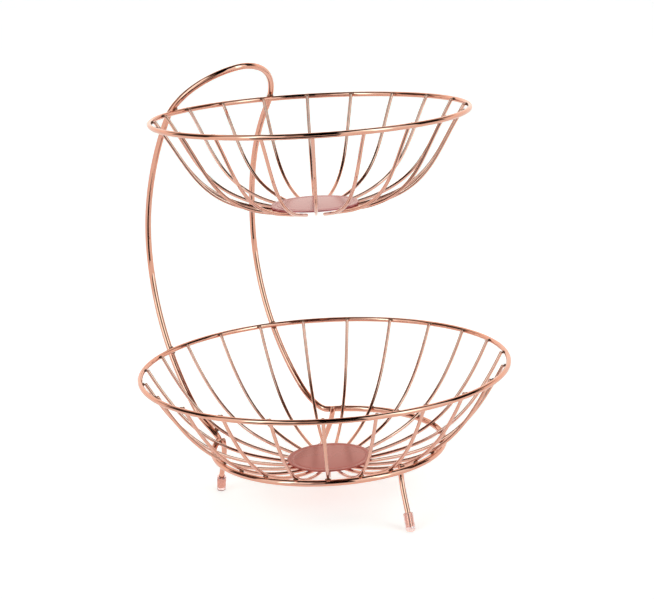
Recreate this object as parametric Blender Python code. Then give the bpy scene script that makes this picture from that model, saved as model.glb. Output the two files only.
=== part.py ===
"""Two-tier wire produce basket: a wide lower bowl and a smaller upper bowl on one bent wire stand.

Metres, +Z up. The stand's two uprights are at the back, towards +Y. The feet stand on Z = 0.
The bowls share one upright axis, which lies a little in front of X = Y = 0, so that the
bounding box is centred on the origin.

Every wire is welded to the next one on the real object. Here each wire is its own solid,
and WELD_GAP is left where two of them touch.
"""

import math

import bmesh
import bpy
from mathutils import Vector

# ---------------------------------------------------------------- driving dimensions

WELD_GAP = 0.0003

STAND_WIRE = 0.0052  # wire diameters
RIM_WIRE = 0.0042
RIB_WIRE = 0.0028
LEG_WIRE = 0.0044

LOWER_RIM_RADIUS = 0.150  # centrelines
LOWER_RIM_HEIGHT = 0.115
LOWER_RIBS = 23
LOWER_PROFILE = (  # rim end, two handles and floor end of a Bezier: radius, height above the rim
    (0.1463, 0.0012),
    (0.1160, -0.0565),
    (0.0910, -0.0730),
    (0.0360, -0.0814),
)
LOWER_RIB_END = (0.0220, -0.0829)
LOWER_RIB_TURN = math.radians(0.3)  # the first rib sits this far from straight back

UPPER_RIM_RADIUS = 0.126
UPPER_RIM_HEIGHT = 0.321
UPPER_RIBS = 20
UPPER_PROFILE = (
    (0.1223, 0.0012),
    (0.0976, -0.0364),
    (0.0942, -0.0637),
    (0.0360, -0.0741),
)
UPPER_RIB_END = (0.0220, -0.0769)
UPPER_RIB_TURN = math.radians(-1.0)

PLATE_RADIUS = 0.035
PLATE_THICKNESS = 0.0012
PLATE_EDGE_BEVEL = 0.0003

RING_RADIUS = 0.0952  # the part of the stand that runs under the lower bowl
UPRIGHT_BEND_RADIUS = 0.189  # seen from the side, the uprights and the handle follow one arc
UPRIGHT_HALF_WIDTH = 0.0554
HANDLE_HALF_WIDTH = 0.0518
HANDLE_START = 0.1246  # lengths along the arc, from its rearmost point
HANDLE_RISE = 0.0572
HANDLE_ROUNDNESS = 1.75  # 2 is a half ellipse, less is more pointed
UPRIGHT_END_HEIGHT = 0.065  # where each upright starts its bend into the ring
RING_START_ANGLE = math.radians(52.0)
RING_BEND_HANDLE = 0.0085  # how far the bend into the ring keeps the direction of each end

FOOT_CAP_DIAMETER = 0.008
FOOT_CAP_CHAMFER = 0.0005  # round the outside of its mouth
FOOT_CAP_LENGTH = 0.015
FOOT_CAP_FLOOR = 0.002
LEG_TOP_ABOVE_RING = 0.0040
LEG_BOW = 0.0025  # how far the upper part of a leg is pulled in under the bowl
LEG_FLARE = math.radians(20.0)
LEG_TURN = 0.007  # how far above the foot cap a leg keeps the direction of the cap
LEGS = {  # angle of the weld on the ring, then angle and radius of the foot on the floor
    "front": (math.radians(270.5), math.radians(268.0), 0.104),
    "rear_left": (math.radians(131.0), math.radians(121.5), 0.1005),
    "rear_right": (math.radians(49.0), math.radians(58.5), 0.1005),
}

# mesh fineness
RIB_STEPS = 11
HANDLE_STEPS = 16
UPRIGHT_STEPS = 26
RING_BEND_STEPS = 8
LEG_STEPS = 9
RING_STEP = math.radians(5.0)
RIM_SEGMENTS = 72
PLATE_SEGMENTS = 40
CAP_SEGMENTS = 20
ROUND_WIRE = 2  # bevel resolutions: 2 gives eight sides, 1 gives six
FINE_WIRE = 1
RING_SEARCH_STEPS = 400  # along a rib, to find where the ring touches it
ARC_FIT_ROUNDS = 20
SHARP_ANGLE = math.radians(40.0)

ROSE_GOLD = ((0.76, 0.37, 0.25), 0.16, 1.0)  # base colour, roughness, metallic
PLATE_PINK = ((0.68, 0.36, 0.33), 0.28, 1.0)
CLEAR_VINYL = ((0.80, 0.58, 0.56), 0.35, 0.0)

STRAIGHT_DOWN = Vector((0.0, 0.0, -1.0))
BACK = math.pi / 2


# ---------------------------------------------------------------- helpers

def touching(first_wire, second_wire):
    """Distance between two wires' centrelines where they are welded together."""
    return (first_wire + second_wire) / 2 + WELD_GAP


def polar(radius, angle, height):
    return Vector((radius * math.cos(angle), radius * math.sin(angle), height))


def bezier(points, steps):
    """Evenly spaced parameters on a cubic Bezier, both ends included."""
    p0, p1, p2, p3 = (Vector(p) for p in points)
    curve = []
    for i in range(steps + 1):
        t = i / steps
        u = 1 - t
        curve.append(u**3 * p0 + 3 * u * u * t * p1 + 3 * u * t * t * p2 + t**3 * p3)
    return curve


def make_material(name, look):
    colour, roughness, metallic = look
    material = bpy.data.materials.new(name)
    material.use_nodes = True
    shader = material.node_tree.nodes["Principled BSDF"]
    shader.inputs["Base Color"].default_value = (*colour, 1.0)
    shader.inputs["Roughness"].default_value = roughness
    shader.inputs["Metallic"].default_value = metallic
    return material


def add_object(name, data, look):
    obj = bpy.data.objects.new(name, data)
    obj.data.materials.append(make_material(name, look))
    bpy.context.scene.collection.objects.link(obj)
    obj.parent = bowl_axis
    return obj


def add_wire(name, path, diameter, bevel_resolution, closed=False):
    """A round wire along a list of points."""
    curve = bpy.data.curves.new(name, "CURVE")
    curve.dimensions = "3D"
    curve.bevel_depth = diameter / 2
    curve.bevel_resolution = bevel_resolution
    curve.use_fill_caps = True
    spline = curve.splines.new("POLY")
    spline.points.add(len(path) - 1)
    for point, place in zip(spline.points, path):
        point.co = (*place, 1.0)
    spline.use_cyclic_u = closed
    return add_object(name, curve, ROSE_GOLD)


def add_mesh(name, shape, look):
    """An object from a bmesh, smooth apart from its sharp edges."""
    mesh = bpy.data.meshes.new(name)
    shape.to_mesh(mesh)
    shape.free()
    mesh.shade_smooth()
    mesh.set_sharp_from_angle(angle=SHARP_ANGLE)
    return add_object(name, mesh, look)


# ---------------------------------------------------------------- bowls

def rib_profile(profile, inner_end):
    """Radius and height of a rib's centreline, from the rim to its end under the plate."""
    return bezier(profile, RIB_STEPS) + [Vector(inner_end)]


def add_rim(name, radius, height):
    angles = [2 * math.pi * i / RIM_SEGMENTS for i in range(RIM_SEGMENTS)]
    add_wire(name, [polar(radius, a, height) for a in angles], RIM_WIRE, ROUND_WIRE, closed=True)


def add_ribs(name, count, first_turn, profile, inner_end, rim_height):
    """Ribs spread evenly, the first one at the back between the uprights."""
    outline = rib_profile(profile, inner_end)
    for i in range(count):
        angle = BACK + first_turn + 2 * math.pi * i / count
        path = [polar(radius, angle, rim_height + height) for radius, height in outline]
        add_wire(f"{name}_{i + 1:02d}", path, RIB_WIRE, FINE_WIRE)


def add_plate(name, profile, rim_height):
    """A flat disc that lies on the ribs."""
    floor_height = rim_height + profile[-1][1]
    underside = floor_height + RIB_WIRE / 2 + WELD_GAP
    shape = bmesh.new()
    bmesh.ops.create_cone(
        shape,
        cap_ends=True,
        segments=PLATE_SEGMENTS,
        radius1=PLATE_RADIUS,
        radius2=PLATE_RADIUS,
        depth=PLATE_THICKNESS,
    )
    rim_edges = []
    for edge in shape.edges:
        drop = abs(edge.verts[0].co.z - edge.verts[1].co.z)
        if drop < PLATE_THICKNESS / 2:
            rim_edges.append(edge)
    bmesh.ops.bevel(
        shape,
        geom=rim_edges,
        offset=PLATE_EDGE_BEVEL,
        segments=1,
        affect="EDGES",
    )
    plate = add_mesh(name, shape, PLATE_PINK)
    plate.location.z = underside + PLATE_THICKNESS / 2


# ---------------------------------------------------------------- stand

def ring_height():
    """The ring lies under the lower ribs and touches them where their radius is right."""
    reach = touching(STAND_WIRE, RIB_WIRE)
    outline = bezier(LOWER_PROFILE, RING_SEARCH_STEPS)
    heights = []
    for before, after in zip(outline, outline[1:]):
        along = (after - before).normalized()
        centre = after + reach * Vector((-along.y, along.x))
        heights.append((abs(centre.x - RING_RADIUS), centre.y))
    return LOWER_RIM_HEIGHT + min(heights)[1]


def upright_arc():
    """Centre (y, z) of the side-view arc, which passes just behind both rims."""
    def behind_rim(rim_radius, rim_height, half_width, slope):
        radius = rim_radius + touching(STAND_WIRE, RIM_WIRE) / math.cos(slope)
        return Vector((math.sqrt(radius**2 - half_width**2), rim_height))

    centre = Vector((0.0, (LOWER_RIM_HEIGHT + UPPER_RIM_HEIGHT) / 2))
    for _ in range(ARC_FIT_ROUNDS):
        low_slope = math.asin((LOWER_RIM_HEIGHT - centre.y) / UPRIGHT_BEND_RADIUS)
        high_slope = math.asin((UPPER_RIM_HEIGHT - centre.y) / UPRIGHT_BEND_RADIUS)
        high_width = half_width_at(UPRIGHT_BEND_RADIUS * high_slope)
        low = behind_rim(LOWER_RIM_RADIUS, LOWER_RIM_HEIGHT, UPRIGHT_HALF_WIDTH, low_slope)
        high = behind_rim(UPPER_RIM_RADIUS, UPPER_RIM_HEIGHT, high_width, high_slope)
        chord = high - low
        to_centre = math.sqrt(UPRIGHT_BEND_RADIUS**2 - (chord.length / 2) ** 2)
        inwards = Vector((-chord.y, chord.x)).normalized()
        centre = (low + high) / 2 + to_centre * inwards
    return centre


def half_width_at(arc_length):
    """Half the distance between the uprights, which draw together a little towards the top."""
    if arc_length <= 0:
        return UPRIGHT_HALF_WIDTH
    share = (1 - math.cos(math.pi * min(arc_length / HANDLE_START, 1.0))) / 2
    return UPRIGHT_HALF_WIDTH + share * (HANDLE_HALF_WIDTH - UPRIGHT_HALF_WIDTH)


def handle_outline():
    """Half of the flattened-out handle and one upright: (half width, length along the arc)."""
    rounding = 2 / HANDLE_ROUNDNESS
    outline = []
    for i in range(HANDLE_STEPS + 1):
        turn = math.pi / 2 * i / HANDLE_STEPS
        width = HANDLE_HALF_WIDTH * math.sin(turn) ** rounding
        outline.append((width, HANDLE_START + HANDLE_RISE * math.cos(turn) ** rounding))
    return outline


def right_upright():
    """Centreline from the top of the handle down to where the bend into the ring starts."""
    centre = upright_arc()
    outline = handle_outline()
    lowest = UPRIGHT_BEND_RADIUS * math.asin((UPRIGHT_END_HEIGHT - centre.y) / UPRIGHT_BEND_RADIUS)
    for i in range(1, UPRIGHT_STEPS + 1):
        length = HANDLE_START + (lowest - HANDLE_START) * i / UPRIGHT_STEPS
        outline.append((half_width_at(length), length))
    path = []
    for width, length in outline:
        turn = length / UPRIGHT_BEND_RADIUS
        y = centre.x + UPRIGHT_BEND_RADIUS * math.cos(turn)
        z = centre.y + UPRIGHT_BEND_RADIUS * math.sin(turn)
        path.append(Vector((width, y, z)))
    return path


def add_stand():
    """One wire: the ring from its right end round the front, with an upright at each end."""
    height = ring_height()
    upright = right_upright()
    down = (upright[-1] - upright[-2]).normalized()
    ring_start = polar(RING_RADIUS, RING_START_ANGLE, height)
    along_ring = polar(1.0, RING_START_ANGLE - BACK, 0.0)
    bend = bezier(
        (
            upright[-1],
            upright[-1] + RING_BEND_HANDLE * down,
            ring_start - RING_BEND_HANDLE * along_ring,
            ring_start,
        ),
        RING_BEND_STEPS,
    )
    right_half = upright[:-1] + bend
    quarter = RING_START_ANGLE + BACK
    steps = round(quarter / RING_STEP)
    for i in range(1, steps + 1):
        right_half.append(polar(RING_RADIUS, RING_START_ANGLE - quarter * i / steps, height))
    left_half = [Vector((-p.x, p.y, p.z)) for p in right_half[-2:0:-1]]
    add_wire("stand_wire", right_half + left_half, STAND_WIRE, ROUND_WIRE, closed=True)
    return height


def wire_end(foot, direction):
    """Where the straight end of a leg stops, above the closed bottom of its cap."""
    return foot - FOOT_CAP_FLOOR / math.cos(LEG_FLARE) * direction


def cap_mouth(foot, direction):
    return foot - FOOT_CAP_LENGTH * direction


def leg_path(weld_angle, foot_angle, foot_radius, height):
    """Centreline of a leg, its foot on the floor, and the unit vector along its straight end."""
    inner_radius = RING_RADIUS - touching(STAND_WIRE, LEG_WIRE)
    top = polar(inner_radius, weld_angle, height + LEG_TOP_ABOVE_RING)
    foot = polar(foot_radius, foot_angle, 0.0)
    outwards = Vector((foot.x - top.x, foot.y - top.y, 0.0)).normalized()
    direction = math.cos(LEG_FLARE) * STRAIGHT_DOWN + math.sin(LEG_FLARE) * outwards
    mouth = cap_mouth(foot, direction)
    third = (top.z - mouth.z) / 3
    bowed_in = top + third * STRAIGHT_DOWN - polar(LEG_BOW, weld_angle, 0.0)
    curve = bezier((top, bowed_in, mouth - LEG_TURN * direction, mouth), LEG_STEPS)
    end = wire_end(foot, direction) - WELD_GAP * direction
    return curve + [end], foot, direction


def add_foot_cap(name, foot, direction):
    """A sleeve over the end of a leg, with its closed bottom cut flat on the floor."""
    side = direction.cross(Vector((0.0, 0.0, 1.0))).normalized()
    across = direction.cross(side)
    outer = FOOT_CAP_DIAMETER / 2
    inner = LEG_WIRE / 2 + WELD_GAP
    mouth = cap_mouth(foot, direction)
    shoulder = mouth + FOOT_CAP_CHAMFER * direction
    shape = bmesh.new()

    def circle(centre, radius, on_floor=False):
        verts = []
        for i in range(CAP_SEGMENTS):
            turn = 2 * math.pi * i / CAP_SEGMENTS
            place = centre + radius * (math.cos(turn) * side + math.sin(turn) * across)
            if on_floor:
                place -= place.z / direction.z * direction
            verts.append(shape.verts.new(place))
        return verts

    rings = [
        circle(wire_end(foot, direction), inner),
        circle(mouth, inner),
        circle(mouth, outer - FOOT_CAP_CHAMFER),
        circle(shoulder, outer),
        circle(foot, outer, on_floor=True),
    ]
    for lower, upper in zip(rings, rings[1:]):
        for i in range(CAP_SEGMENTS):
            j = (i + 1) % CAP_SEGMENTS
            shape.faces.new((lower[i], lower[j], upper[j], upper[i]))
    shape.faces.new(rings[0])
    shape.faces.new(rings[-1])
    bmesh.ops.recalc_face_normals(shape, faces=shape.faces)
    add_mesh(name, shape, CLEAR_VINYL)


def add_legs(height):
    for name, (weld_angle, foot_angle, foot_radius) in LEGS.items():
        path, foot, direction = leg_path(weld_angle, foot_angle, foot_radius, height)
        add_wire(f"leg_{name}", path, LEG_WIRE, ROUND_WIRE)
        add_foot_cap(f"foot_cap_{name}", foot, direction)


# ---------------------------------------------------------------- build

for old in list(bpy.data.objects):
    bpy.data.objects.remove(old)

rearmost = upright_arc().x + UPRIGHT_BEND_RADIUS + STAND_WIRE / 2
foremost = LOWER_RIM_RADIUS + RIM_WIRE / 2
bowl_axis = bpy.data.objects.new("bowl_axis", None)
bowl_axis.location.y = (foremost - rearmost) / 2
bpy.context.scene.collection.objects.link(bowl_axis)

add_rim("lower_rim", LOWER_RIM_RADIUS, LOWER_RIM_HEIGHT)
add_ribs("lower_rib", LOWER_RIBS, LOWER_RIB_TURN, LOWER_PROFILE, LOWER_RIB_END, LOWER_RIM_HEIGHT)
add_plate("lower_plate", LOWER_PROFILE, LOWER_RIM_HEIGHT)

add_rim("upper_rim", UPPER_RIM_RADIUS, UPPER_RIM_HEIGHT)
add_ribs("upper_rib", UPPER_RIBS, UPPER_RIB_TURN, UPPER_PROFILE, UPPER_RIB_END, UPPER_RIM_HEIGHT)
add_plate("upper_plate", UPPER_PROFILE, UPPER_RIM_HEIGHT)

add_legs(add_stand())
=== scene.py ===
"""Looks of the two-tier wire produce basket: plated wire, pressed plates, weld beads, vinyl caps.

Every wire's centreline is read from its CAD node, so the fine tubes lie where the frame says.
"""

import math
import random

import bmesh
import bpy
from mathutils import Matrix, Quaternion, Vector, noise
from mathutils.kdtree import KDTree


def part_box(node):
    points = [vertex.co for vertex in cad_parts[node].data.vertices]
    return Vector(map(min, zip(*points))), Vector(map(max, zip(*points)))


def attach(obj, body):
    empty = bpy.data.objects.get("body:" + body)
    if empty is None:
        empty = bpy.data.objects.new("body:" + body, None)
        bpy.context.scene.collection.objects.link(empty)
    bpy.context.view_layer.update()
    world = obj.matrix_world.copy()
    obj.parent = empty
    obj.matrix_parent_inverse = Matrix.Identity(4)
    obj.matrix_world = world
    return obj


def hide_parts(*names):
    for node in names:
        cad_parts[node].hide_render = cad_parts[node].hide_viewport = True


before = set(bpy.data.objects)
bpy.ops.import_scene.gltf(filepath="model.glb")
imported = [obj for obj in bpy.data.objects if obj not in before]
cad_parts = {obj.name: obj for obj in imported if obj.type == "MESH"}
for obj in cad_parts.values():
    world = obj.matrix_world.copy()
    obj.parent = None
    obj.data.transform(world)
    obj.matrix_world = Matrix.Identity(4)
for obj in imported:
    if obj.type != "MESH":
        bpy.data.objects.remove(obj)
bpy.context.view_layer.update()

RANDOM_SEED = 7
UP = Vector((0.0, 0.0, 1.0))
RIGHT = Vector((1.0, 0.0, 0.0))

# ---------------------------------------------------------------- fineness of the visible meshes

MERGE_DISTANCE = 1e-5
RIB_CORNERS = 6  # corners of the CAD tubes' cross-sections
WIRE_CORNERS = 8
RIB_SIDES = 16  # the same on the visible tubes
WIRE_SIDES = 24
WIRE_STEP = 0.0015  # distance between their cross-sections
END_RINGS = 5  # cross-sections in the rounded end of a wire
END_TIP = 0.35  # place of the last one, as a share of a step from the very tip
END_LENGTH = 0.6  # how far a rounded end stands out, in wire radii
END_SHARP_ANGLE = math.radians(50.0)
RIM_STEPS = 480
PLATE_SEGMENTS = 128
PLATE_SHARP_ANGLE = math.radians(40.0)
CAP_SEGMENTS = 40
FLOOR_SEGMENTS = 96
ROUNDING_STEPS = 8

# ---------------------------------------------------------------- small details, in metres

CONTACT_REACH = 0.0012  # wires this close, surface to surface, are welded
WELD_SPACING = 3.0  # least distance between two welds of a pair of wires, in their joint width
RIM_BEAD = (0.0042, 0.0024, 0.0020)  # weld beads: length, width, thickness
RING_BEAD = (0.0046, 0.0030, 0.0020)
UPRIGHT_BEAD = (0.0068, 0.0058, 0.0030)
LEG_BEAD = (0.0058, 0.0052, 0.0024)
RING_SPATTER = 1  # balls of metal around each weld
UPRIGHT_SPATTER = 5
LEG_SPATTER = 2
SPATTER_RADIUS = (0.00022, 0.00045)
SPATTER_SUBDIVISIONS = 2
BEAD_SUBDIVISIONS = 4
BEAD_WANDER = 0.16  # how far a bead's surface wanders, as a share of its size
BEAD_LUMPS = 1.7  # how many lumps a bead has, and the finer ones on them
BEAD_FINE_LUMPS = 5.0
BEAD_FINE_SHARE = 0.4
BEAD_SEED_STEP = 3.7  # makes each bead different from the one before
HEAT_DEPTH = 0.0030  # how deep the heat of the big welds goes into the two wires
HEAT_REACH = 0.0072  # how far the plating is darkened around a weld
PLATE_EDGE_ROUNDING = 0.0005
PLATE_RING_RADIUS = 0.88  # a shallow pressed ring, as a share of the plate's radius
PLATE_RING_DEPTH = 0.00025
PLATE_RING_WIDTH = 0.0016
CAP_WALL = 0.0018
CAP_ROUNDING = 0.0026
CAP_LIP = 0.0004
CAP_GRIP = 0.00003  # the dipped vinyl grips the wire without a gap of air
CAP_FLOOR_GAP = 0.0002  # below the end of the wire
CAP_BOTTOM_DIP = 0.35  # how much of the slanting bottom reaches past the foot, before it is cut flat

# ---------------------------------------------------------------- colours and finish

THICK_WIRE_TONES = (  # noise value, base colour
    (0.30, (0.72, 0.345, 0.245)),
    (0.55, (0.70, 0.345, 0.255)),
    (0.75, (0.67, 0.345, 0.270)),
)
RIB_TONES = (
    (0.30, (0.71, 0.365, 0.272)),
    (0.55, (0.69, 0.365, 0.283)),
    (0.75, (0.66, 0.365, 0.298)),
)
HEAT_STAIN = (  # heat, what the plating's colour is multiplied by
    (0.0, (1.0, 1.0, 1.0)),
    (0.35, (0.93, 0.78, 0.66)),
    (0.62, (0.45, 0.22, 0.14)),
    (0.85, (0.12, 0.05, 0.035)),
)
WELD_TONES = (
    (0.36, (0.05, 0.020, 0.012)),
    (0.54, (0.20, 0.085, 0.055)),
    (0.70, (0.60, 0.31, 0.21)),
)
UPPER_PLATE_TONES = (
    (0.35, (0.49, 0.118, 0.128)),
    (0.65, (0.51, 0.125, 0.135)),
)
# The lower plate's tones are darker than the upper plate's. This is partly painted shade from the upper
# bowl that hangs over it.
LOWER_PLATE_TONES_WITH_PAINTED_SHADE = (
    (0.35, (0.44, 0.080, 0.060)),
    (0.65, (0.46, 0.087, 0.065)),
)
VINYL_TONES = (
    (0.3, (0.97, 0.74, 0.71)),
    (0.7, (1.0, 0.80, 0.78)),
)
WIRE_ROUGHNESS = (0.01, 0.035)
HEAT_ROUGHNESS = 0.30  # added beside a weld
HEAT_PATCHES = (0.55, 1.35)  # how unevenly the heat spreads
PLATE_ROUGHNESS = (0.20, 0.23)
PLATE_METALLIC = 0.5  # the satin plating of the plates spreads much of its light
WELD_ROUGHNESS = (0.50, 0.26)
VINYL_ROUGHNESS = (0.04, 0.10)
NOISE_RANGE = (0.3, 0.7)  # where most of a noise texture's values lie
DRAWN_LINES = (2600.0, 45.0, 1.0)  # fine lines around the wire and along it, per metre
ROLLED_LINES = (1500.0, 25.0, 200.0)  # the same on the plates, across, along and through the sheet

# ---------------------------------------------------------------- camera and light

CAMERA_PLACE = (-0.7841, -1.0273, 0.4801)
CAMERA_AZIMUTH = math.radians(-37.81)
CAMERA_ELEVATION = math.radians(13.57)
CAMERA_ROLL = math.radians(-3.27)
CAMERA_LENS = 89.98
FLOOR_RADIUS = 14.0
FLOOR_COLOUR = (0.93, 0.88, 0.865)  # warm, against the softboxes' cool light
FLOOR_GLOW = 0.48  # the floor is lit a little from below, so that it stays pale under the bowls
FLOOR_GLOW_COLOUR = (1.0, 0.97, 0.95)
TOP_LIGHT_PLACE = (-0.2, -0.2, 2.6)
TOP_LIGHT_SIZE = (2.2, 2.2)
TOP_LIGHT_POWER = 6.0
CARD_TONE = 0.015
CARD_NEAR = 0.30  # the black card on the floor in front of the basket, from its middle
CARD_FAR = 1.60
CARD_AZIMUTHS = (-40.0, 20.0)
CARD_LIFT = 0.002
BACKDROP_LIGHT = (1.22, 1.14, 1.02)
PANEL_EDGE = 3.0  # width of the panels' soft edges, in degrees
STUDIO_PANELS = (  # degrees to the right of the camera, elevations, light; later ones cover earlier ones
    ((-68.0, -18.0), (-90.0, 60.0), (1.15, 1.40, 1.45)),  # the left softbox
    ((-50.0, -38.0), (-90.0, 60.0), (2.4, 3.9, 4.2)),  # its lamp
    ((20.0, 84.0), (-90.0, 62.0), (1.25, 1.55, 1.60)),  # the right softbox
    ((44.0, 58.0), (-90.0, 62.0), (2.4, 3.9, 4.2)),  # its lamp
    ((-18.0, -6.0), (-90.0, 70.0), (0.50, 0.50, 0.48)),  # the wall behind the camera
    ((-6.0, 22.0), (-90.0, 70.0), (0.0, 0.0, 0.0)),  # the camera and who holds it
    ((-110.0, -74.0), (-90.0, 56.0), (0.03, 0.025, 0.02)),  # a dark gap on the left
    ((-140.0, -100.0), (26.0, 54.0), (0.08, 0.06, 0.05)),
    ((80.0, 108.0), (-90.0, 60.0), (0.02, 0.015, 0.01)),  # a dark gap on the right
    ((80.0, 142.0), (26.0, 56.0), (0.02, 0.015, 0.01)),
    ((-34.0, 36.0), (46.0, 90.0), (0.0, 0.0, 0.0)),  # the dark ceiling
    ((-181.0, 181.0), (57.0, 100.0), (0.0, 0.0, 0.0)),
)


# ---------------------------------------------------------------- reading the frame

def node_shape(node):
    """A CAD node's mesh, with its faces joined along their edges."""
    shape = bmesh.new()
    shape.from_mesh(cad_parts[node].data)
    bmesh.ops.remove_doubles(shape, verts=shape.verts, dist=MERGE_DISTANCE)
    return shape


def cross_sections(first):
    """The cross-sections of a tube, walking along it from one of them."""
    seen = set(first)
    sections = [list(first)]
    while sections[-1]:
        following = []
        for vert in sections[-1]:
            for edge in vert.link_edges:
                other = edge.other_vert(vert)
                if other not in seen:
                    seen.add(other)
                    following.append(other)
        sections.append(following)
    return sections[:-1]


def middle(verts):
    return sum((v.co for v in verts), Vector()) / len(verts)


def wire_radius(section):
    centre = middle(section)
    return max((v.co - centre).length for v in section)


def open_wire(node, corners):
    """Centreline of a wire with two ends, from its top, and its radius."""
    shape = node_shape(node)
    top = max(shape.verts, key=lambda v: v.co.z)
    end = sorted(shape.verts, key=lambda v: (v.co - top.co).length)[:corners]
    sections = cross_sections(end)
    path = [middle(s) for s in sections]
    radius = wire_radius(sections[len(sections) // 2])
    shape.free()
    return path, radius


def stand_loop(node):
    """Centreline of the stand, a closed loop that is the same on both sides of X = 0."""
    shape = node_shape(node)
    low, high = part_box(node)
    half_way = (low.z + high.z) / 2
    top = [v for v in shape.verts if abs(v.co.x) < MERGE_DISTANCE and v.co.z > half_way]
    sections = cross_sections(top)
    radius = wire_radius(top)
    right = [middle([v for v in s if v.co.x >= -MERGE_DISTANCE]) for s in sections]
    shape.free()
    left = [Vector((-p.x, p.y, p.z)) for p in right[-2:0:-1]]
    return right + left, radius


def rim_circle(node):
    """Centreline of a rim, and the radius of its wire."""
    low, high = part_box(node)
    centre = (low + high) / 2
    wire = (high.z - low.z) / 2
    radius = (high.x - low.x) / 2 - wire
    path = []
    for i in range(RIM_STEPS):
        turn = 2 * math.pi * i / RIM_STEPS
        path.append(centre + radius * Vector((math.cos(turn), math.sin(turn), 0.0)))
    return path, wire


# ---------------------------------------------------------------- smooth paths and tubes

def catmull_rom(p0, p1, p2, p3, t):
    return 0.5 * (
        2 * p1
        + (p2 - p0) * t
        + (2 * p0 - 5 * p1 + 4 * p2 - p3) * t * t
        + (3 * p1 - p0 - 3 * p2 + p3) * t**3
    )


def smooth_path(points, closed):
    """The same route with a point about every WIRE_STEP."""
    count = len(points)
    path = []
    for i in range(count if closed else count - 1):
        if closed:
            p0, p1, p2, p3 = (points[(i + k) % count] for k in (-1, 0, 1, 2))
        else:
            p1, p2 = points[i], points[i + 1]
            p0 = points[i - 1] if i else 2 * p1 - p2
            p3 = points[i + 2] if i + 2 < count else 2 * p2 - p1
        steps = max(1, round((p2 - p1).length / WIRE_STEP))
        path += [catmull_rom(p0, p1, p2, p3, k / steps) for k in range(steps)]
    if not closed:
        path.append(points[-1].copy())
    return path


def tangents(path, closed):
    count = len(path)
    directions = []
    for i in range(count):
        before = path[i - 1] if closed or i else path[i]
        after = path[(i + 1) % count] if closed or i + 1 < count else path[i]
        directions.append((after - before).normalized())
    return directions


def sideways(directions, closed):
    """A direction across the path at each point, without twist from one point to the next."""
    across = [directions[0].orthogonal().normalized()]
    for before, after in zip(directions, directions[1:]):
        carried = before.rotation_difference(after) @ across[-1]
        across.append((carried - carried.dot(after) * after).normalized())
    if closed:
        last = directions[-1].rotation_difference(directions[0]) @ across[-1]
        turn = last.angle(across[0])
        if last.cross(across[0]).dot(directions[0]) < 0:
            turn = -turn
        for i, direction in enumerate(directions):
            share = turn * i / len(directions)
            across[i] = Quaternion(direction, share) @ across[i]
    return across


def rounded_ends(path, radius):
    """Cross-sections (place on the path, radius) of a wire whose two cut ends are rounded."""
    first = (path[0] - path[1]).normalized()
    last = (path[-1] - path[-2]).normalized()
    start, finish = [], []
    for k in range(END_RINGS):
        turn = math.pi / 2 * (1 - (k + END_TIP) / END_RINGS)
        size = radius * math.cos(turn)
        out = END_LENGTH * radius * (math.sin(turn) - 1)
        start.append((path[0] + out * first, size))
        finish.append((path[-1] + out * last, size))
    clear = END_LENGTH * radius
    body = []
    for place in path:
        if min((place - path[0]).length, (place - path[-1]).length) > clear:
            body.append((place, radius))
    return start + body + finish[::-1]


def tube(name, path, radius, sides, closed, heat):
    """A round wire, with lengths in its UV map and the heat of the welds in an attribute."""
    if closed:
        sections = [(p, radius) for p in path]
    else:
        sections = rounded_ends(path, radius)
    places = [p for p, _ in sections]
    directions = tangents(places, closed)
    across = sideways(directions, closed)
    verts = []
    for (place, size), direction, side in zip(sections, directions, across):
        other = direction.cross(side)
        for j in range(sides):
            turn = 2 * math.pi * j / sides
            verts.append(place + size * (math.cos(turn) * side + math.sin(turn) * other))
    faces = []
    count = len(sections)
    for i in range(count if closed else count - 1):
        for j in range(sides):
            a = i * sides + j
            b = i * sides + (j + 1) % sides
            c = (i + 1) % count * sides + (j + 1) % sides
            d = (i + 1) % count * sides + j
            faces.append((a, b, c, d))
    if not closed:
        faces.append(tuple(range(sides))[::-1])
        faces.append(tuple(range((count - 1) * sides, count * sides)))
    mesh = bpy.data.meshes.new(name)
    mesh.from_pydata(verts, [], faces)
    unroll(mesh, places, radius, sides, closed)
    add_heat(mesh, heat)
    mesh.shade_smooth()
    if not closed:
        mesh.set_sharp_from_angle(angle=END_SHARP_ANGLE)
    return new_object(name, mesh)


def unroll(mesh, places, radius, sides, closed):
    """UV map of a tube in metres: the way around the wire, then the way along it."""
    count = len(places)
    lengths = [0.0]
    for before, after in zip(places, places[1:] + places[:1]):
        lengths.append(lengths[-1] + (after - before).length)
    layer = mesh.uv_layers.new(name="along_wire")
    for face in mesh.polygons:
        closing_face = closed and max(face.vertices) >= (count - 1) * sides
        seam_face = face.vertices[1] % sides == 0 and len(face.vertices) == 4
        for loop in face.loop_indices:
            section, side = divmod(mesh.loops[loop].vertex_index, sides)
            if section == 0 and closing_face:
                section = count
            if side == 0 and seam_face:
                side = sides
            around = 2 * math.pi * radius * side / sides
            layer.data[loop].uv = (around, lengths[section])


def add_heat(mesh, heat):
    """How strongly a weld has darkened each point, from 0 to 1."""
    attribute = mesh.attributes.new("heat", "FLOAT", "POINT")
    for vert in mesh.vertices:
        _, _, distance = heat.find(vert.co)
        attribute.data[vert.index].value = max(0.0, 1.0 - distance / HEAT_REACH)


def new_object(name, mesh):
    obj = bpy.data.objects.new(name, mesh)
    bpy.context.scene.collection.objects.link(obj)
    return obj


def place_piece(obj, material, slot, *nodes):
    obj.data.materials.append(material)
    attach(obj, "root")
    if nodes:
        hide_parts(*nodes)


# ---------------------------------------------------------------- welds

def tree_of(places):
    """For finding the nearest of these places."""
    tree = KDTree(len(places))
    for i, place in enumerate(places):
        tree.insert(place, i)
    tree.balance()
    return tree


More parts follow.
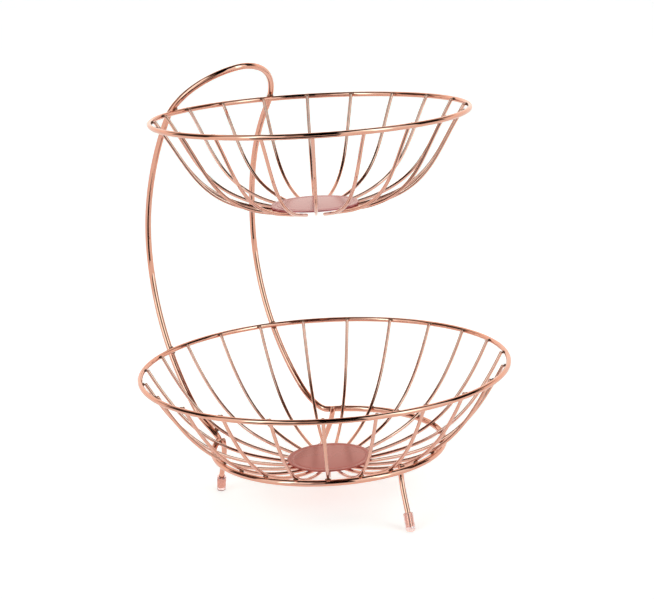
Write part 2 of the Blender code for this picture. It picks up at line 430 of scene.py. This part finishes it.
def contacts(path_a, radius_a, path_b, radius_b):
    """Where two wires touch: (place, direction from a to b, direction along b)."""
    tree = tree_of(path_b)
    near = []
    for i, p in enumerate(path_a):
        q, j, distance = tree.find(p)
        if distance < radius_a + radius_b + CONTACT_REACH:
            near.append((distance, i, j))
    found = []
    for _, i, j in sorted(near):
        p, q = path_a[i], path_b[j]
        if any((p - f[0]).length < WELD_SPACING * (radius_a + radius_b) for f in found):
            continue
        along = (path_b[(j + 1) % len(path_b)] - path_b[j - 1]).normalized()
        place = p + (q - p) * radius_a / (radius_a + radius_b)
        found.append((place, (q - p).normalized(), along))
    return found


def bead(shape, place, through, along, size, seed):
    """One weld bead: a small uneven lump between two wires. size is (length, width, thickness)."""
    side = through.cross(along).normalized()
    along = side.cross(through).normalized()
    axes = Matrix((along, side, through)).transposed()
    made = bmesh.ops.create_icosphere(shape, subdivisions=BEAD_SUBDIVISIONS, radius=1.0)
    for vert in made["verts"]:
        direction = vert.co.normalized()
        wander = noise.noise(direction * BEAD_LUMPS + Vector((seed, 0.0, 0.0)))
        fine = noise.noise(direction * BEAD_FINE_LUMPS + Vector((0.0, seed, 0.0)))
        wander += BEAD_FINE_SHARE * fine
        stretched = Vector([direction[k] * size[k] / 2 for k in range(3)])
        vert.co = place + axes @ stretched * (1 + BEAD_WANDER * wander)


def spatter(shape, place, reach, count):
    """Little balls of metal around a weld. Some of them don't touch it."""
    for _ in range(count):
        direction = Vector([random.uniform(-1, 1) for _ in range(3)]).normalized()
        radius = random.uniform(*SPATTER_RADIUS)
        at = Matrix.Translation(place + reach * direction)
        bmesh.ops.create_icosphere(
            shape, subdivisions=SPATTER_SUBDIVISIONS, radius=radius, matrix=at
        )


def add_welds(name, welds, size, balls, material):
    """All welds of one kind, as one piece."""
    shape = bmesh.new()
    for i, (place, through, along) in enumerate(welds):
        bead(shape, place, through, along, size, seed=BEAD_SEED_STEP * i)
        spatter(shape, place, size[0] / 2, balls)
    mesh = bpy.data.meshes.new(name)
    shape.to_mesh(mesh)
    shape.free()
    mesh.shade_smooth()
    place_piece(new_object(name, mesh), material, "rose_gold_wire")


# ---------------------------------------------------------------- materials

def add_node(tree, kind, settings=None, **inputs):
    """A shader node. Each input, by its name or as i0, i1 and so on, is a value or an output socket."""
    node = tree.nodes.new(kind)
    for key, value in (settings or {}).items():
        setattr(node, key, value)
    for key, value in inputs.items():
        socket = node.inputs[int(key[1:]) if key[1:].isdigit() else key]
        if isinstance(value, bpy.types.NodeSocket):
            tree.links.new(value, socket)
        else:
            socket.default_value = value
    return node


def new_material(name):
    material = bpy.data.materials.new(name)
    material.use_nodes = True
    tree = material.node_tree
    return material, tree, tree.nodes["Principled BSDF"]


def colour_ramp(tree, factor, stops):
    ramp = add_node(tree, "ShaderNodeValToRGB", i0=factor)
    elements = ramp.color_ramp.elements
    while len(elements) < len(stops):
        elements.new(0.5)
    for element, (place, colour) in zip(elements, stops):
        element.position = place
        element.color = (*colour, 1.0)
    return ramp.outputs["Color"]


def spread(tree, value, low, high):
    """A noise value stretched, so that most of it lies between low and high."""
    start, end = NOISE_RANGE
    node = add_node(tree, "ShaderNodeMapRange", i0=value, i1=start, i2=end, i3=low, i4=high)
    return node.outputs["Result"]


def plated_wire(name, tones):
    """Polished rose-gold plate on drawn wire, browned by the heat beside each weld."""
    material, tree, shader = new_material(name)
    links = tree.links
    place = add_node(tree, "ShaderNodeTexCoord").outputs["Object"]
    along = add_node(tree, "ShaderNodeUVMap", {"uv_map": "along_wire"}).outputs["UV"]
    heat = add_node(tree, "ShaderNodeAttribute", {"attribute_name": "heat"}).outputs["Fac"]

    cloudy = add_node(tree, "ShaderNodeTexNoise", Vector=place, Scale=22.0, Detail=3.0)
    tone = colour_ramp(tree, cloudy.outputs["Fac"], tones)
    patchy = add_node(tree, "ShaderNodeTexNoise", Vector=place, Scale=900.0, Detail=3.0)
    patches = spread(tree, patchy.outputs["Fac"], *HEAT_PATCHES)
    uneven_heat = add_node(tree, "ShaderNodeMath", {"operation": "MULTIPLY"}, i0=heat, i1=patches)
    stain = colour_ramp(tree, uneven_heat.outputs[0], HEAT_STAIN)
    tinted = add_node(
        tree,
        "ShaderNodeMix",
        {"data_type": "RGBA", "blend_type": "MULTIPLY"},
        i0=1.0,
        i6=tone,
        i7=stain,
    )
    links.new(tinted.outputs[2], shader.inputs["Base Color"])

    drawn = add_node(tree, "ShaderNodeMapping", Vector=along, Scale=DRAWN_LINES)
    lines = add_node(tree, "ShaderNodeTexNoise", Vector=drawn.outputs[0], Scale=1.0, Detail=2.0)
    smudge = add_node(tree, "ShaderNodeTexNoise", Vector=place, Scale=160.0, Detail=4.0)
    polish = spread(tree, smudge.outputs["Fac"], *WIRE_ROUGHNESS)
    roughness = add_node(
        tree,
        "ShaderNodeMath",
        {"operation": "MULTIPLY_ADD"},
        i0=uneven_heat.outputs[0],
        i1=HEAT_ROUGHNESS,
        i2=polish,
    )
    links.new(roughness.outputs[0], shader.inputs["Roughness"])
    fine = add_node(
        tree, "ShaderNodeBump", Height=lines.outputs["Fac"], Strength=0.06, Distance=0.00002
    )
    waves = add_node(tree, "ShaderNodeTexNoise", Vector=place, Scale=70.0, Detail=1.0)
    coarse = add_node(
        tree,
        "ShaderNodeBump",
        Height=waves.outputs["Fac"],
        Strength=0.10,
        Distance=0.0003,
        Normal=fine.outputs[0],
    )
    links.new(coarse.outputs[0], shader.inputs["Normal"])
    shader.inputs["Metallic"].default_value = 1.0
    return material


def weld_metal():
    """Rough, heat-browned metal of the beads under the plating."""
    material, tree, shader = new_material("rose_gold_weld_metal")
    links = tree.links
    place = add_node(tree, "ShaderNodeTexCoord").outputs["Object"]
    grain = add_node(tree, "ShaderNodeTexNoise", Vector=place, Scale=650.0, Detail=4.0)
    links.new(colour_ramp(tree, grain.outputs["Fac"], WELD_TONES), shader.inputs["Base Color"])
    links.new(spread(tree, grain.outputs["Fac"], *WELD_ROUGHNESS), shader.inputs["Roughness"])
    bump = add_node(
        tree, "ShaderNodeBump", Height=grain.outputs["Fac"], Strength=0.5, Distance=0.0002
    )
    links.new(bump.outputs[0], shader.inputs["Normal"])
    shader.inputs["Metallic"].default_value = 1.0
    return material


def plated_sheet(name, tones):
    """Rose-gold plated sheet: fine rolling lines one way, and faint cloudy marks."""
    material, tree, shader = new_material(name)
    links = tree.links
    place = add_node(tree, "ShaderNodeTexCoord").outputs["Object"]
    cloudy = add_node(tree, "ShaderNodeTexNoise", Vector=place, Scale=30.0, Detail=2.0)
    links.new(colour_ramp(tree, cloudy.outputs["Fac"], tones), shader.inputs["Base Color"])
    rolled = add_node(tree, "ShaderNodeMapping", Vector=place, Scale=ROLLED_LINES)
    lines = add_node(tree, "ShaderNodeTexNoise", Vector=rolled.outputs[0], Scale=1.0, Detail=3.0)
    links.new(spread(tree, lines.outputs["Fac"], *PLATE_ROUGHNESS), shader.inputs["Roughness"])
    bump = add_node(
        tree, "ShaderNodeBump", Height=lines.outputs["Fac"], Strength=0.02, Distance=0.00002
    )
    links.new(bump.outputs[0], shader.inputs["Normal"])
    shader.inputs["Metallic"].default_value = PLATE_METALLIC
    return material


def clear_vinyl():
    """Soft clear vinyl with a faint pink tint and dip marks."""
    material, tree, shader = new_material("foot_cap_clear_vinyl")
    links = tree.links
    place = add_node(tree, "ShaderNodeTexCoord").outputs["Object"]
    cloudy = add_node(tree, "ShaderNodeTexNoise", Vector=place, Scale=380.0, Detail=3.0)
    links.new(colour_ramp(tree, cloudy.outputs["Fac"], VINYL_TONES), shader.inputs["Base Color"])
    links.new(spread(tree, cloudy.outputs["Fac"], *VINYL_ROUGHNESS), shader.inputs["Roughness"])
    bump = add_node(
        tree, "ShaderNodeBump", Height=cloudy.outputs["Fac"], Strength=0.03, Distance=0.0001
    )
    links.new(bump.outputs[0], shader.inputs["Normal"])
    shader.inputs["Transmission Weight"].default_value = 0.88
    shader.inputs["IOR"].default_value = 1.45
    return material


# ---------------------------------------------------------------- turned pieces

def turned(name, profile, segments, place, axis):
    """A solid of revolution. profile is a closed outline of (radius, height along the axis)."""
    shape = bmesh.new()
    turn_to = UP.rotation_difference(axis)
    rings = []
    for radius, height in profile:
        if radius < MERGE_DISTANCE:
            rings.append([shape.verts.new(place + turn_to @ Vector((0.0, 0.0, height)))])
            continue
        ring = []
        for i in range(segments):
            turn = 2 * math.pi * i / segments
            spot = Vector((radius * math.cos(turn), radius * math.sin(turn), height))
            ring.append(shape.verts.new(place + turn_to @ spot))
        rings.append(ring)
    for lower, upper in zip(rings, rings[1:]):
        for i in range(segments):
            j = (i + 1) % segments
            around = ((lower, i), (lower, j), (upper, j), (upper, i))
            corners = [circle[k % len(circle)] for circle, k in around]
            distinct = list(dict.fromkeys(corners))
            if len(distinct) > 2:
                shape.faces.new(distinct)
    bmesh.ops.recalc_face_normals(shape, faces=shape.faces)
    mesh = bpy.data.meshes.new(name)
    shape.to_mesh(mesh)
    shape.free()
    return mesh


def arc(centre, radius, start, end):
    """Points on an arc in a profile, both ends included, with the angles in degrees."""
    points = []
    for i in range(ROUNDING_STEPS + 1):
        turn = math.radians(start + (end - start) * i / ROUNDING_STEPS)
        points.append((centre[0] + radius * math.cos(turn), centre[1] + radius * math.sin(turn)))
    return points


def add_plate(name, material):
    low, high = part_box(name)
    centre = Vector(((low.x + high.x) / 2, (low.y + high.y) / 2, low.z))
    radius = (high.x - low.x) / 2
    thickness = high.z - low.z
    rounding = PLATE_EDGE_ROUNDING
    ring = PLATE_RING_RADIUS * radius
    top = [(0.0, thickness), (ring - PLATE_RING_WIDTH, thickness)]
    for i in range(1, 2 * ROUNDING_STEPS):
        share = i / (2 * ROUNDING_STEPS)
        dip = PLATE_RING_DEPTH * (1 - math.cos(2 * math.pi * share)) / 2
        top.append((ring + PLATE_RING_WIDTH * (2 * share - 1), thickness - dip))
    top.append((ring + PLATE_RING_WIDTH, thickness))
    edge = arc((radius - rounding, thickness - rounding), rounding, 90, 0)
    edge += arc((radius - rounding, rounding), rounding, 0, -90)
    profile = top + edge + [(0.0, 0.0)]
    mesh = turned(name + "_disc", profile, PLATE_SEGMENTS, centre, UP)
    mesh.shade_smooth()
    mesh.set_sharp_from_angle(angle=PLATE_SHARP_ANGLE)
    place_piece(new_object(name + "_disc", mesh), material, "rose_gold_plate", name)


def add_foot_cap(name, wire_path, wire, material):
    """A vinyl sleeve on the straight end of a leg, with its rounded bottom flattened on the floor."""
    _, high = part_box(name)
    axis = (wire_path[-2] - wire_path[-1]).normalized()
    foot = wire_path[-1] - wire_path[-1].z / axis.z * axis
    flare = math.sqrt(1 - axis.z**2)
    outer = wire + CAP_WALL
    length = (high.z - outer * flare) / axis.z
    inner = wire - CAP_GRIP
    wall = outer - inner
    floor = (wire_path[-1] - foot).length - CAP_FLOOR_GAP
    bottom = -outer * flare * CAP_BOTTOM_DIP
    profile = [(0.0, floor), (inner, floor), (inner, length - CAP_LIP)]
    profile += arc(((inner + outer) / 2, length - wall / 2), wall / 2, 180, 0)
    profile += arc((outer - CAP_ROUNDING, CAP_ROUNDING + bottom), CAP_ROUNDING, 0, -90)
    profile.append((0.0, bottom))
    mesh = turned(name + "_sleeve", profile, CAP_SEGMENTS, foot, axis)
    for vert in mesh.vertices:
        vert.co.z = max(vert.co.z, 0.0)
    mesh.shade_smooth()
    place_piece(new_object(name + "_sleeve", mesh), material, "foot_cap_vinyl", name)


# ---------------------------------------------------------------- the basket

def smooth_wires(nodes, corners):
    """Centreline and wire radius of each of these nodes, which are wires with two ends."""
    wires = {}
    for node in nodes:
        path, radius = open_wire(node, corners)
        wires[node] = (smooth_path(path, closed=False), radius)
    return wires


def find_welds(stand, rims, ribs, legs):
    """Every place where two wires are welded, sorted by what is welded to what."""
    welds = {"lower_rim": [], "upper_rim": [], "ring": [], "upright": [], "leg": []}
    for node, wire in ribs.items():
        tier = node.split("_")[0]
        welds[tier + "_rim"] += contacts(*wire, *rims[tier + "_rim"])[:1]
        if tier == "lower":
            welds["ring"] += contacts(*wire, *stand)[:1]
    for rim in rims.values():
        welds["upright"] += contacts(*rim, *stand)
    for leg in legs.values():
        welds["leg"] += contacts(*leg, *stand)[:1]
    return welds


def heated_places(welds):
    """For finding the nearest weld. The heat of the big ones goes deep into both wires."""
    places = [weld[0] for name in ("lower_rim", "upper_rim", "ring") for weld in welds[name]]
    for place, through, _ in welds["upright"] + welds["leg"]:
        places += [place - HEAT_DEPTH * through, place, place + HEAT_DEPTH * through]
    return tree_of(places)


def add_wires(stand, rims, ribs, legs, heat):
    thick = plated_wire("rose_gold_thick_wire_plating", THICK_WIRE_TONES)
    thin = plated_wire("rose_gold_rib_plating", RIB_TONES)
    stand_wire = tube("stand_bent_wire", *stand, WIRE_SIDES, True, heat)
    place_piece(stand_wire, thick, "rose_gold_wire", "stand_wire")
    for node, rim in rims.items():
        ring = tube(node + "_ring", *rim, WIRE_SIDES, True, heat)
        place_piece(ring, thick, "rose_gold_wire", node)
    for node, rib in ribs.items():
        wire = tube(node + "_wire", *rib, RIB_SIDES, False, heat)
        place_piece(wire, thin, "rose_gold_wire", node)
    for node, leg in legs.items():
        wire = tube(node + "_wire", *leg, WIRE_SIDES, False, heat)
        place_piece(wire, thick, "rose_gold_wire", node)


def add_basket():
    nodes = sorted(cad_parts)
    stand_path, stand_radius = stand_loop("stand_wire")
    stand = (smooth_path(stand_path, closed=True), stand_radius)
    rims = {node: rim_circle(node) for node in ("lower_rim", "upper_rim")}
    ribs = smooth_wires([node for node in nodes if "_rib_" in node], RIB_CORNERS)
    legs = smooth_wires([node for node in nodes if node.startswith("leg_")], WIRE_CORNERS)
    welds = find_welds(stand, rims, ribs, legs)
    add_wires(stand, rims, ribs, legs, heated_places(welds))

    metal = weld_metal()
    add_welds("lower_rim_weld_beads", welds["lower_rim"], RIM_BEAD, 0, metal)
    add_welds("upper_rim_weld_beads", welds["upper_rim"], RIM_BEAD, 0, metal)
    add_welds("ring_weld_beads", welds["ring"], RING_BEAD, RING_SPATTER, metal)
    add_welds("upright_weld_beads", welds["upright"], UPRIGHT_BEAD, UPRIGHT_SPATTER, metal)
    add_welds("leg_weld_beads", welds["leg"], LEG_BEAD, LEG_SPATTER, metal)

    add_plate("upper_plate", plated_sheet("upper_plate_plating", UPPER_PLATE_TONES))
    # The lower plate's plating is darkened with painted shade from the upper bowl.
    add_plate("lower_plate", plated_sheet("lower_plate_plating_with_painted_shade", LOWER_PLATE_TONES_WITH_PAINTED_SHADE))

    vinyl = clear_vinyl()
    for node, leg in legs.items():
        add_foot_cap(node.replace("leg", "foot_cap"), *leg, vinyl)


# ---------------------------------------------------------------- studio

def add_camera():
    data = bpy.data.cameras.new("camera")
    data.lens = CAMERA_LENS
    data.clip_end = 2 * FLOOR_RADIUS
    camera = bpy.data.objects.new("camera", data)
    bpy.context.scene.collection.objects.link(camera)
    forwards = Matrix.Rotation(CAMERA_AZIMUTH, 3, "Z") @ Vector((0.0, 1.0, 0.0))
    looking = math.cos(CAMERA_ELEVATION) * forwards - math.sin(CAMERA_ELEVATION) * UP
    turn = looking.to_track_quat("-Z", "Y") @ Quaternion((0.0, 0.0, 1.0), CAMERA_ROLL)
    camera.matrix_world = Matrix.Translation(CAMERA_PLACE) @ turn.to_matrix().to_4x4()
    bpy.context.scene.camera = camera


def add_floor():
    mesh = bpy.data.meshes.new("floor")
    shape = bmesh.new()
    bmesh.ops.create_circle(shape, cap_ends=True, segments=FLOOR_SEGMENTS, radius=FLOOR_RADIUS)
    shape.to_mesh(mesh)
    shape.free()
    floor = new_object("floor", mesh)
    material, _, shader = new_material("pale_floor")
    shader.inputs["Base Color"].default_value = (*FLOOR_COLOUR, 1.0)
    shader.inputs["Emission Color"].default_value = (*FLOOR_GLOW_COLOUR, 1.0)
    shader.inputs["Emission Strength"].default_value = FLOOR_GLOW
    shader.inputs["Roughness"].default_value = 0.9
    shader.inputs["Specular IOR Level"].default_value = 0.0
    mesh.materials.append(material)


def add_black_card():
    """A black card on the floor in front, seen only in the wires, which gives them dark lines."""
    shape = bmesh.new()
    corners = []
    left, right = CARD_AZIMUTHS
    for azimuth, reach in ((left, CARD_NEAR), (right, CARD_NEAR), (right, CARD_FAR), (left, CARD_FAR)):
        turn = CAMERA_AZIMUTH + math.radians(azimuth)
        spot = Vector((math.sin(turn) * reach, -math.cos(turn) * reach, CARD_LIFT))
        corners.append(shape.verts.new(spot))
    shape.faces.new(corners)
    mesh = bpy.data.meshes.new("black_card")
    shape.to_mesh(mesh)
    shape.free()
    card = new_object("black_card", mesh)
    material, _, shader = new_material("black_card_paper")
    shader.inputs["Base Color"].default_value = (CARD_TONE, CARD_TONE, CARD_TONE, 1.0)
    shader.inputs["Roughness"].default_value = 1.0
    shader.inputs["Specular IOR Level"].default_value = 0.0
    mesh.materials.append(material)
    card.visible_camera = False
    card.visible_diffuse = False
    card.visible_shadow = False


def add_light(name, place, size, power):
    data = bpy.data.lights.new(name, "AREA")
    data.shape = "RECTANGLE"
    data.size, data.size_y = size
    data.energy = power
    light = bpy.data.objects.new(name, data)
    light.location = place
    light.rotation_euler = (-Vector(place)).to_track_quat("-Z", "Y").to_euler()
    light.visible_glossy = False
    bpy.context.scene.collection.objects.link(light)


def window(tree, value, low, high):
    """1 where an angle lies between low and high, 0 outside, with soft edges. Angles in degrees."""
    edges = []
    for edge, inner in ((low, 1.0), (high, -1.0)):
        node = add_node(
            tree,
            "ShaderNodeMapRange",
            i0=value,
            i1=math.radians(edge - inner * PANEL_EDGE / 2),
            i2=math.radians(edge + inner * PANEL_EDGE / 2),
            i3=0.0,
            i4=1.0,
        )
        edges.append(node.outputs[0])
    both = add_node(tree, "ShaderNodeMath", {"operation": "MULTIPLY"}, i0=edges[0], i1=edges[1])
    return both.outputs[0]


def add_world():
    """A white studio with softboxes, dark gaps and a dark ceiling, which the polished wires mirror."""
    world = bpy.data.worlds.new("studio")
    world.use_nodes = True
    bpy.context.scene.world = world
    tree = world.node_tree
    background = tree.nodes["Background"]
    direction = add_node(tree, "ShaderNodeTexCoord").outputs["Generated"]
    to_camera = Matrix.Rotation(CAMERA_AZIMUTH, 3, "Z") @ Vector((0.0, -1.0, 0.0))
    aside = Matrix.Rotation(CAMERA_AZIMUTH, 3, "Z") @ RIGHT

    def part(axis):
        dot = {"operation": "DOT_PRODUCT"}
        return add_node(tree, "ShaderNodeVectorMath", dot, i0=direction, i1=axis).outputs["Value"]

    arctan = {"operation": "ARCTAN2"}
    around = add_node(tree, "ShaderNodeMath", arctan, i0=part(aside), i1=part(to_camera))
    height = add_node(tree, "ShaderNodeMath", {"operation": "ARCSINE"}, i0=part(UP))
    light = (*BACKDROP_LIGHT, 1.0)
    for azimuths, elevations, panel_light in STUDIO_PANELS:
        panel = add_node(
            tree,
            "ShaderNodeMath",
            {"operation": "MULTIPLY"},
            i0=window(tree, around.outputs[0], *azimuths),
            i1=window(tree, height.outputs[0], *elevations),
        )
        mix = add_node(
            tree,
            "ShaderNodeMix",
            {"data_type": "RGBA"},
            i0=panel.outputs[0],
            i6=light,
            i7=(*panel_light, 1.0),
        )
        light = mix.outputs[2]
    tree.links.new(light, background.inputs["Color"])


random.seed(RANDOM_SEED)
add_camera()
add_floor()
add_black_card()
add_world()
add_light("top_softbox", TOP_LIGHT_PLACE, TOP_LIGHT_SIZE, TOP_LIGHT_POWER)
bpy.context.scene.view_settings.view_transform = "Standard"
add_basket()
